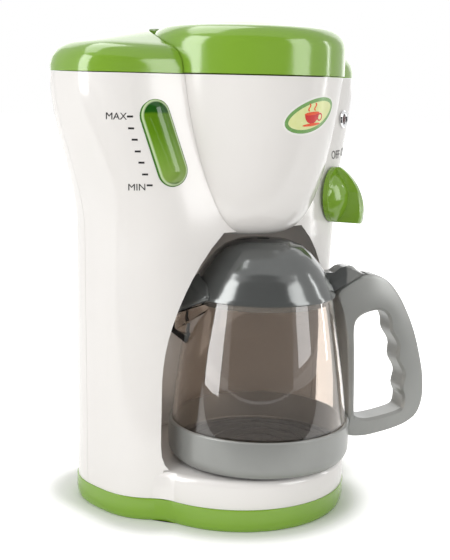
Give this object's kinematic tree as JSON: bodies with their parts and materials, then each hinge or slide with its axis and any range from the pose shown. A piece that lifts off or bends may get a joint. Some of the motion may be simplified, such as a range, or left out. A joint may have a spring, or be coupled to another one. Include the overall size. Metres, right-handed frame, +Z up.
{
  "type": "toy coffee maker",
  "caption": "Toy drip coffee maker: flared tower on a round-nosed base, hinged brew lid, turning knob and a lidded carafe that slides out of an arched bay.",
  "frame": {"origin": "on the ground under the centre of the round front lobe of the base", "axes": "+Z up, front towards -Y, +X to the right seen from the front"},
  "size_m": [0.178, 0.1301, 0.2385],
  "materials": {
    "white_abs": "glossy moulded",
    "green_abs": "glossy moulded",
    "silver_abs": "satin silver-grey moulded",
    "smoke_clear": "clear smoke tint",
    "green_clear": "clear green tint",
    "chrome_trim": "polished",
    "red_lens": "clear dark red",
    "steel": "plain zinc plated",
    "grey_inner": "moulded",
    "black_inner": "moulded",
    "tank_clear": "frosted clear",
    "cell_sleeve": "printed sleeve"
  },
  "bodies": {
    "housing": {"base_tray": "green_abs", "deck": "white_abs", "front_shell": "white_abs", "rear_shell": "white_abs", "bay_wall": "white_abs", "brew_funnel": "white_abs", "top_cover": "green_abs", "level_window": "green_clear", "lamp_bezel": "chrome_trim", "lamp_lens": "red_lens", "drip_nozzle": "grey_inner", "filter_basket": "grey_inner", "water_tank": "tank_clear", "feed_tube": "tank_clear", "pump": "black_inner", "switch_body": "black_inner", "batteries": "cell_sleeve", "battery_contacts": "steel", "shell_screws": "steel", "brew_lid_pin": "steel"},
    "knob": {"knob": "green_abs"},
    "brew_lid": {"brew_lid": "green_abs"},
    "battery_door": {"battery_door": "green_abs"},
    "carafe": {"carafe_glass": "smoke_clear", "carafe_cup": "silver_abs", "carafe_handle": "silver_abs", "handle_rivets": "steel", "carafe_lid_pin": "steel"},
    "carafe_lid": {"carafe_lid": "silver_abs"}
  },
  "joints": [
    {"name": "knob_turn", "type": "hinge", "parent": "housing", "child": "knob", "pos_m": [0.05474, -0.00896, 0.1525], "axis": [-0.3738, 0.9275, -0.007], "range_deg": [0, 60]},
    {"name": "brew_lid_hinge", "type": "hinge", "parent": "housing", "child": "brew_lid", "pos_m": [0, 0.05, 0.2315], "axis": [-1, 0, 0], "range_deg": [0, 85]},
    {"name": "battery_door_off", "type": "slide", "parent": "housing", "child": "battery_door", "axis": [0, 0, -1], "range_m": [0, 0.02]},
    {"name": "carafe_out", "type": "slide", "parent": "housing", "child": "carafe", "axis": [0, -1, 0], "range_m": [-0.012, 0.12]},
    {"name": "carafe_lid_hinge", "type": "hinge", "parent": "carafe", "child": "carafe_lid", "pos_m": [0.04758, -0.03669, 0.1132], "axis": [0.4226, 0.9063, 0], "range_deg": [0, 1.5]}
  ]
}
